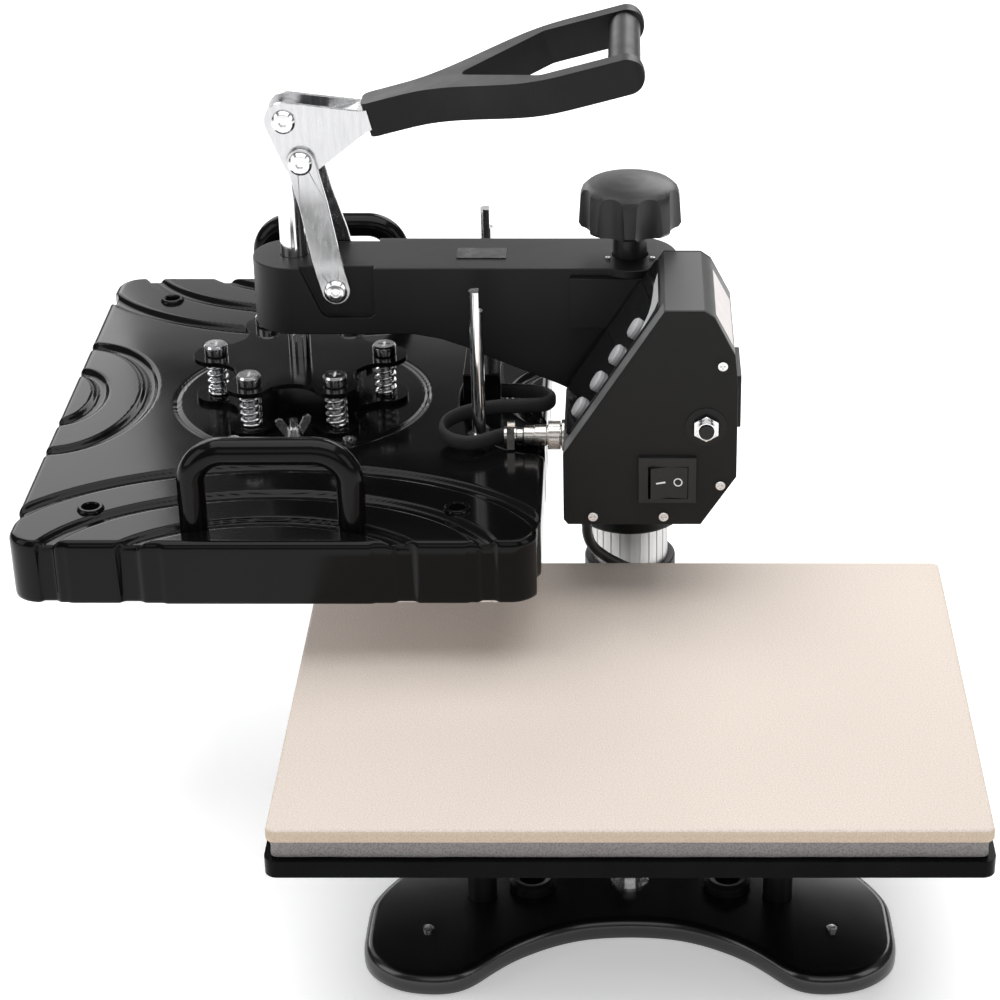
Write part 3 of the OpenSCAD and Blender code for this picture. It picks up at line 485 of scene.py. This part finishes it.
# base shell with a smooth sloping rim
outline = resample(node_loop("base_shell", 2), 3.0)
for _ in range(2):
    outline = 0.5 * outline + 0.25 * np.roll(outline, 1, 0) + 0.25 * np.roll(outline, -1, 0)
ev, ef = [], []
for fx, fy in ((-118, -280), (118, -280), (-52, 36), (52, 36)):
    b0 = len(ev)
    for j in range(32):
        a = 2 * math.pi * j / 32
        for zz in (6, 10.6):
            ev.append(((fx + 11 * math.cos(a)) * MM, (fy + 11 * math.sin(a)) * MM, zz * MM))
    for j in range(32):
        ef.append((b0 + 2 * j, b0 + 2 * ((j + 1) % 32), b0 + 2 * ((j + 1) % 32) + 1, b0 + 2 * j + 1))
    ef.append(tuple(b0 + 2 * j for j in range(32)))
    ef.append(tuple(b0 + 2 * j + 1 for j in range(32)))
rim = [(5.9, 10.6), (5.9, 2.6), (5.4, 2), (0.6, 2), (0.1, 2.6), (0, 6), (0.12, 8.4), (0.45, 10), (1.05, 11.4), (1.95, 12.6), (3.05, 13.4), (4.3, 13.88), (5.6, 14)]
base = slab("base_casting", outline, rim, "base_black", "base", extra=(ev, ef))
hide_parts("base_shell")

# pads
lo, hi = [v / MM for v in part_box("top_pad")]
pad = slab("silicone_pad", rounded_rect(lo[0], hi[0], lo[1], hi[1], 5),
           [(2.2, lo[2]), (0.6, lo[2] + 0.35), (0, lo[2] + 1.3), (0.05, hi[2] - 2.4), (0.5, hi[2] - 0.9), (1.3, hi[2] - 0.25), (2.6, hi[2])],
           "cream_pad", "base")
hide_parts("top_pad")
lo, hi = [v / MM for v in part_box("foam_pad")]
loop = np.array(rounded_rect(lo[0], hi[0], lo[1], hi[1], 4, per=6))
rng = np.random.default_rng(7)
wob = rng.normal(0, 1, len(loop))
for _ in range(3):
    wob = 0.5 * wob + 0.25 * np.roll(wob, 1) + 0.25 * np.roll(wob, -1)
nr = loop_normals(loop)
foam = slab("foam_layer", loop + nr * (0.35 + 0.3 * np.clip(wob, -1, 1))[:, None],
            [(1.2, lo[2]), (0.1, lo[2] + 0.5), (0, lo[2] + 2.5), (0.3, (lo[2] + hi[2]) / 2), (0, hi[2] - 2.5), (0.1, hi[2] - 0.5), (1.2, hi[2])],
            "grey_foam", "base")
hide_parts("foam_pad")

# ---------------------------------------------------------------- upper platen's cover: a pressed sheet with channels
CX0, CX1, CY0, CY1 = -351.0, -51.0, -194.0, 194.0
CZ0, CZ1, CR, RIM = 182.0, 221.0, 17.0, 4.5
RX = -204.0


def ell_dist(x, y, cx, cy, a, b):
    fx, fy = (x - cx) / a, (y - cy) / b
    f = np.sqrt(fx * fx + fy * fy) + 1e-9
    gr = np.sqrt((fx / a) ** 2 + (fy / b) ** 2) / f + 1e-9
    return (f - 1) / gr


def smooth01(t):
    t = np.clip(t, 0, 1)
    return t * t * (3 - 2 * t)


def channel(x, y):
    """Depth of the pressed channels, 0 to 1."""
    out = np.zeros_like(x)
    cxm = (CX0 + CX1) / 2
    bands = []
    for s_ in (-1, 1):
        bands += [(RX, s_ * 198, 165, 105, 11), (RX, s_ * 218, 135, 90, 11), (RX, s_ * 221, 95, 60, 11)]
        bands += [(cxm + s_ * 151, 0, 56, 82, 10), (cxm + s_ * 151, 0, 26, 42, 10)]
    for cx, cy, a, b, w in bands:
        outer = -ell_dist(x, y, cx, cy, a, b)
        inner = ell_dist(x, y, cx, cy, a - w, b - w)
        d = np.minimum(outer, inner)
        out = np.maximum(out, smooth01((d + 0.4) / 3.0))
    ring = np.abs(np.sqrt((x - RX) ** 2 + y**2) - 78)
    return np.maximum(out, 0.28 * (1 - smooth01((ring - 0.5) / 1.0)))


def graded(lo_, hi_, step):
    edge = [0, 0.25, 0.6, 1.1, 1.8, 2.7, 3.6, 4.5]
    m = int(round((hi_ - lo_ - 9) / step))
    return np.array([lo_ + e for e in edge] + [lo_ + 4.5 + (hi_ - lo_ - 9) * i / m for i in range(1, m)] + [hi_ - e for e in reversed(edge)])


gx, gy = graded(CX0, CX1, 1.2), graded(CY0, CY1, 1.2)
nx, ny = len(gx), len(gy)
X, Y = np.meshgrid(gx, gy, indexing="ij")
# round the corners: push the points of each corner square out from its arc's centre on to rounded squares
for sx in (-1, 1):
    for sy in (-1, 1):
        cx, cy = (CX1 - CR if sx > 0 else CX0 + CR), (CY1 - CR if sy > 0 else CY0 + CR)
        dx, dy = (X - cx) * sx, (Y - cy) * sy
        mask = (dx > 0) & (dy > 0)
        big = np.maximum(dx, dy)
        ln = np.sqrt(dx**2 + dy**2) + 1e-9
        k_ = np.where(mask, big / ln, 1.0)
        X = np.where(mask, cx + sx * dx * k_, X)
        Y = np.where(mask, cy + sy * dy * k_, Y)
# distance to the rim
qx = np.abs(X - (CX0 + CX1) / 2) - ((CX1 - CX0) / 2 - CR)
qy = np.abs(Y) - (CY1 - CR)
D = CR - (np.sqrt(np.maximum(qx, 0) ** 2 + np.maximum(qy, 0) ** 2) + np.minimum(np.maximum(qx, qy), 0))
D = np.clip(D, 0, None)
drop = np.where(D < RIM, RIM - np.sqrt(np.clip(RIM**2 - (RIM - D) ** 2, 0, None)), 0.0)
CH = channel(X, Y)
Z = CZ1 - drop - 3.0 * CH
# where a channel runs out over the rim it goes on down the side as a shallow flute
bx, by = (X - (CX0 + CX1) / 2), Y
nxv = np.where(qx > qy, np.sign(bx), 0.0)
nyv = np.where(qx > qy, 0.0, np.sign(by))
corner = (qx > 0) & (qy > 0)
ln = np.sqrt(np.maximum(qx, 0) ** 2 + np.maximum(qy, 0) ** 2) + 1e-9
nxv = np.where(corner, np.sign(bx) * np.maximum(qx, 0) / ln, nxv)
nyv = np.where(corner, np.sign(by) * np.maximum(qy, 0) / ln, nyv)
away = np.abs(X - RX)
pull = (2.2 * CH + np.abs(nyv) * (1.0 * smooth01((away - 57.5) / 3) + 0.8 * smooth01((away - 111.5) / 3))) * smooth01((RIM - D) / RIM)
XX, YY = X - nxv * pull, Y - nyv * pull
verts = np.stack([XX, YY, Z], axis=-1).reshape(-1, 3)
idx = np.arange(nx * ny).reshape(nx, ny)
faces = np.stack([idx[:-1, :-1], idx[1:, :-1], idx[1:, 1:], idx[:-1, 1:]], axis=-1).reshape(-1, 4).tolist()
border = list(idx[:, 0]) + list(idx[-1, 1:]) + list(idx[-2::-1, -1]) + list(idx[0, -2:0:-1])
vv = verts.tolist()
prev = [int(i) for i in border]
for zz, inward in ((212.0, 0.0), (205.0, 0.05), (196.0, 0.1), (188.0, 0.15), (184.0, 0.2), (182.3, 0.35), (182.0, 0.8), (182.0, 3.2), (183.0, 3.6), (208.0, 3.6)):
    cur = []
    for j, i in enumerate(border):
        i = int(i)
        a, b = divmod(i, ny)
        x_, y_ = XX[a, b] - nxv[a, b] * inward, YY[a, b] - nyv[a, b] * inward
        vv.append([x_, y_, zz])
        cur.append(len(vv) - 1)
    for j in range(len(border)):
        k2 = (j + 1) % len(border)
        faces.append([prev[j], prev[k2], cur[k2], cur[j]])
    prev = cur
cover = new_mesh("pressed_cover", [(a * MM, b * MM, c * MM) for a, b, c in vv], faces, "gloss_black", "platen", flat_angle=85)
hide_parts("platen_cover")
for i_, sx in enumerate((-105, 105)):
    for j_, sy in enumerate((-152, 152)):
        turned("boss_ring_%d%d" % (i_, j_), RX + sx, sy, [(4.6, 218), (4.6, 222.2), (5.4, 223.1), (6.6, 223.1), (7.4, 222.4), (8.0, 221), (8.0, 218)], "gloss_black", "platen")
        # painted shade: a flat black disc with no sheen in each boss ring stands in for the shade inside the hole
        turned("boss_hole_shade_%d%d" % (i_, j_), RX + sx, sy, [(0.01, 219), (0.01, 221.6), (4.7, 221.6), (4.7, 219)], "painted_hole_shade", "platen")

# ---------------------------------------------------------------- coil springs
verts, faces = [], []
wire, mean, zb, zt, n_turn = 0.95, 5.85, 224.0, 247.0, 5.5
seg = 10
for k in range(6):
    cx, cy = -204 + 52 * math.cos(math.radians(60 * k)), 52 * math.sin(math.radians(60 * k))
    steps = int(n_turn * 28)
    base_i = len(verts)
    pts = []
    for i in range(steps + 1):
        u = i / steps
        a = 2 * math.pi * n_turn * u + k
        # the end turns lie closed
        h = (u - 0.09) / 0.82
        h = min(1.0, max(0.0, h))
        z = zb + wire + (zt - zb - 2 * wire) * (0.06 * u + 0.94 * h)
        pts.append(np.array([cx + mean * math.cos(a), cy + mean * math.sin(a), z]))
    for i, c in enumerate(pts):
        t = pts[min(i + 1, steps)] - pts[max(i - 1, 0)]
        t /= np.linalg.norm(t)
        s = np.cross(t, up)
        s /= np.linalg.norm(s)
        w = np.cross(s, t)
        for j in range(seg):
            q = 2 * math.pi * j / seg
            verts.append((c + (s * math.cos(q) + w * math.sin(q)) * wire) * MM)
    for i in range(steps):
        for j in range(seg):
            a, b = base_i + i * seg + j, base_i + i * seg + (j + 1) % seg
            faces.append((a, b, b + seg, a + seg))
    faces.append(tuple(base_i + j for j in range(seg)))
    faces.append(tuple(base_i + steps * seg + j for j in range(seg)))
coils = new_mesh("coil_springs", verts, faces, "chrome", "platen", flat_angle=60)
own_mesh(coils)
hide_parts("springs")

# ---------------------------------------------------------------- CAD nodes
LOOK = {
    "rubber_feet": ("rubber", 0.4), "base_screws": ("zinc", 0.25), "post_socket": ("satin_black", 0.6), "post_tube": ("aluminium", 0), "post_spindle": ("steel", 0.4),
    "platen_supports": ("satin_black", 0.5), "support_bolts": ("zinc", 0.4), "lower_platen": ("tray_black", 2.0), "thrust_bearing": ("brass", 0.3), "mains_plug": ("pvc", 0.5),
    "arm_casting": ("satin_black", 1.2), "box_shell": ("box_shell", 0.5), "box_front_plate": ("box_face", 0.6), "box_rear_plate": ("box_face", 0.6), "box_bracket": ("satin_black", 0.5),
    "display_overlay": ("overlay", 0.3), "access_plate": ("plastic", 0.5), "panel_screws": ("zinc", 0.15), "switch_bezel": ("rocker", 0.4), "breaker_bush": ("chrome", 0.3),
    "output_socket": ("nickel", 0.3), "lead_plug": ("nickel", 0.3), "pressure_knob": ("knob", 1.4), "pressure_screw": ("steel", 0.3),
    "mode_button": ("button", 0.5), "up_button": ("button", 0.5), "down_button": ("button", 0.5), "timer_button": ("button", 0.5), "power_rocker": ("rocker", 0.5),
    "breaker_button": ("plastic", 0.4), "plug_ring": ("nickel", 0.1), "platen_cover": ("gloss_black", 1.1), "heater_plate": ("plate_alu", 0.5), "heating_element": ("steel", 0),
    "insulation_pad": ("wool", 0.5), "front_bail": ("gloss_black", 0), "rear_bail": ("gloss_black", 0), "guide_rods": ("chrome", 0), "lower_spider": ("gloss_black", 0.5),
    "spring_bolts": ("chrome", 0.3), "terminal_cover": ("gloss_black", 0.8), "cover_screws": ("zinc", 0.2), "wing_nut": ("zinc", 0.4), "press_rod": ("chrome", 0.4),
    "upper_spider": ("gloss_black", 0.5), "lever_bracket": ("link_steel", 0.6), "lever_pins": ("chrome", 0.3), "handle_grip": ("grip", 2.2), "link_plates": ("link_steel", 0.5),
    "link_bolts": ("chrome", 0.3),
}
for n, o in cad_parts.items():
    if o.hide_render:
        continue
    mat, width = LOOK[n]
    paint(o, mat)
    for poly in o.data.polygons:
        poly.use_smooth = True
    weld = o.modifiers.new("weld", "WELD")
    weld.merge_threshold = 1e-6
    if n in ("box_front_plate", "box_rear_plate"):
        flatten = o.modifiers.new("one_face", "DECIMATE")
        flatten.decimate_type = "DISSOLVE"
        flatten.angle_limit = math.radians(0.5)
    if width:
        b = o.modifiers.new("edge", "BEVEL")
        b.width = width * MM
        b.segments = 3
        b.limit_method = "ANGLE"
        b.angle_limit = math.radians(35)
        b.use_clamp_overlap = True
        b.miter_outer = "MITER_SHARP"
        b.harden_normals = False
    es = o.modifiers.new("sharp", "EDGE_SPLIT")
    es.split_angle = math.radians(32)
    es.use_edge_angle = True
    es.use_edge_sharp = False
    wn = o.modifiers.new("flat_shading", "WEIGHTED_NORMAL")
    wn.keep_sharp = True

# ---------------------------------------------------------------- small printed pieces
def flat(name, pts, mat, body, thick=0.12):
    """A thin piece from 3-D points (mm) in order, thickened along its normal."""
    p = [np.array(q, float) for q in pts]
    n = np.cross(p[1] - p[0], p[2] - p[1])
    n /= np.linalg.norm(n)
    m = len(p)
    verts = [q * MM for q in p] + [(q + n * thick) * MM for q in p]
    faces = [tuple(range(m))[::-1], tuple(range(m, 2 * m))] + [(i, (i + 1) % m, m + (i + 1) % m, m + i) for i in range(m)]
    return new_mesh(name, verts, faces, mat, body, smooth=False)


pa = math.atan2(90.7, 59)
UX = np.array([math.cos(pa), 0, math.sin(pa)])
UN = np.array([-math.sin(pa), 0, math.cos(pa)])
P0 = np.array([-39, -75.25, 240.0])


def on_panel(x, y, h):
    return P0 + UX * x + np.array([0, y, 0]) + UN * h


sw = [(103, 20), (103, -22), (99, -27), (91, -29.5), (84, -29), (88, -25.5), (93, -20), (96, -12), (97.5, -2), (99, 10)]
flat("panel_swoosh", [on_panel(x, y, 1.22) for x, y in reversed(sw)], "swoosh", "arm")
# the window of the read-out; the real window is darker and glossier than the film round it, but here it takes the
# film's own material
flat("readout_window", [on_panel(x, y, 1.22) for x, y in reversed([(34, -10), (74, -10), (74, 24), (34, 24)])], "overlay", "arm")
# near strip of the panel
flat("panel_strip", [on_panel(x, y, 0.02) for x, y in reversed([(1.5, -44.2), (106.5, -44.2), (106.5, -31), (1.5, -31)])], "panel_strip", "arm")
# label on the box's far slope, left blank
q0, q1 = np.array([60, 0, 303.5]), np.array([48, 0, 326.5])
d = (q1 - q0) / np.linalg.norm(q1 - q0)
nn = np.array([d[2], 0, -d[0]])
flat("blank_label", [q0 + d * a + nn * 0.05 + np.array([0, y, 0]) for a, y in ((2, -112), (2, -45), (24, -45), (24, -112))], "label", "arm")
# nameplate on the arm, left blank
flat("blank_nameplate", [(-105, -9, 317.02), (-75, -9, 317.02), (-75, 7, 317.02), (-105, 7, 317.02)], "nameplate", "arm", thick=0.6)
# disc behind the breaker
verts, faces = [], []
m = 48
for j in range(m):
    a = 2 * math.pi * j / m
    for r in (8.2, 12.1):
        for y in (-121.55, -121.95):
            verts.append(((44 + r * math.cos(a)) * MM, y * MM, (258.5 + r * math.sin(a)) * MM))
for j in range(m):
    a, b = 4 * j, 4 * ((j + 1) % m)
    faces += [(a, a + 1, b + 1, b), (a + 1, a + 3, b + 3, b + 1), (a + 3, a + 2, b + 2, b + 3), (a + 2, a, b, b + 2)]
new_mesh("breaker_disc", verts, faces, "satin_black", "arm", smooth=False)
# the rocker's two marks
A, Mi, B = np.array([-10.22, -6.10]), np.array([0.27, -2.59]), np.array([11.26, -3.84])


def on_rocker(a, b, u, z, off):
    q = a + (b - a) * u
    t = (b - a) / np.linalg.norm(b - a)
    nv = np.array([t[1], -t[0]])
    q = q + nv * off
    return (22.2 + q[0], -120.5 + q[1], z)


flat("mark_on", [on_rocker(A, Mi, u, z, 0.05) for u, z in ((0.3, 223.35), (0.82, 223.35), (0.82, 224.35), (0.3, 224.35))], "white_mark", "rocker")
verts, faces = [], []
for j in range(32):
    a = 2 * math.pi * j / 32
    for r in (1.95, 2.65):
        for off in (0.04, 0.14):
            verts.append([c * MM for c in on_rocker(Mi, B, 0.5 + r * math.cos(a) / 11.1, 223.8 + r * math.sin(a), off)])
for j in range(32):
    a, b = 4 * j, 4 * ((j + 1) % 32)
    faces += [(a, a + 1, b + 1, b), (a + 1, a + 3, b + 3, b + 1), (a + 3, a + 2, b + 2, b + 3), (a + 2, a, b, b + 2)]
new_mesh("mark_off", verts, faces, "white_mark", "rocker", smooth=False)

# ---------------------------------------------------------------- floor and light
fl = bpy.data.meshes.new("floor")
fl.from_pydata([(-60, -60, 0), (60, -60, 0), (60, 60, 0), (-60, 60, 0)], [], [(0, 1, 2, 3)])
floor = bpy.data.objects.new("floor", fl)
scene.collection.objects.link(floor)
fm, nt, p = nodes_of("floor")
nt.links.new(ramp(nt, noise(nt, 0.6, 2), (0.93, 0.93, 0.93), (0.96, 0.96, 0.96)), p.inputs["Base Color"])
p.inputs["Roughness"].default_value = 0.9
p.inputs["Specular IOR Level"].default_value = 0.1
p.inputs["Emission Color"].default_value = (1, 1, 1, 1)
p.inputs["Emission Strength"].default_value = 0.36
fl.materials.append(fm)


def area(name, loc, target, size, size_y, power, color=(1, 1, 1)):
    ld = bpy.data.lights.new(name, "AREA")
    ld.shape = "RECTANGLE"
    ld.size, ld.size_y = size, size_y
    ld.energy = power
    ld.color = color
    o = bpy.data.objects.new(name, ld)
    scene.collection.objects.link(o)
    o.location = loc
    o.rotation_euler = (Vector(target) - Vector(loc)).to_track_quat("-Z", "Y").to_euler()
    return o


area("top_soft", (0.0, -0.1, 2.6), (0, -0.1, 0), 3.0, 2.6, 62)
area("back_left_soft", (-1.45, 2.1, 1.45), (-0.3, 0, 0.25), 1.5, 1.5, 21)
area("back_right_soft", (0.75, 2.1, 1.5), (0, 0, 0.3), 1.3, 1.3, 20)
area("back_low_soft", (-0.35, 2.1, 0.78), (-0.15, 0, 0.22), 1.1, 0.6, 2.6)
area("left_soft", (-2.2, -0.9, 1.2), (-0.1, -0.1, 0.25), 1.4, 1.6, 12)
area("right_soft", (2.1, -1.2, 1.3), (0, -0.1, 0.25), 1.2, 1.6, 9)
area("front_fill", (0.2, -2.6, 1.5), (0, -0.1, 0.2), 2.4, 1.2, 8)

world = bpy.data.worlds.new("world")
scene.world = world
world.use_nodes = True
wn = world.node_tree
bg = wn.nodes["Background"]
tc = wn.nodes.new("ShaderNodeTexCoord")
sep = wn.nodes.new("ShaderNodeSeparateXYZ")
wn.links.new(tc.outputs["Generated"], sep.inputs["Vector"])
rp = wn.nodes.new("ShaderNodeValToRGB")
rp.color_ramp.elements[0].position, rp.color_ramp.elements[1].position = 0.0, 0.95
rp.color_ramp.elements[0].color = (0.30, 0.30, 0.30, 1)
rp.color_ramp.elements[1].color = (1, 1, 1, 1)
e = rp.color_ramp.elements.new(0.5)
e.color = (0.34, 0.34, 0.34, 1)
wn.links.new(sep.outputs["Z"], rp.inputs["Fac"])
wn.links.new(rp.outputs["Color"], bg.inputs["Color"])
bg.inputs["Strength"].default_value = 0.4
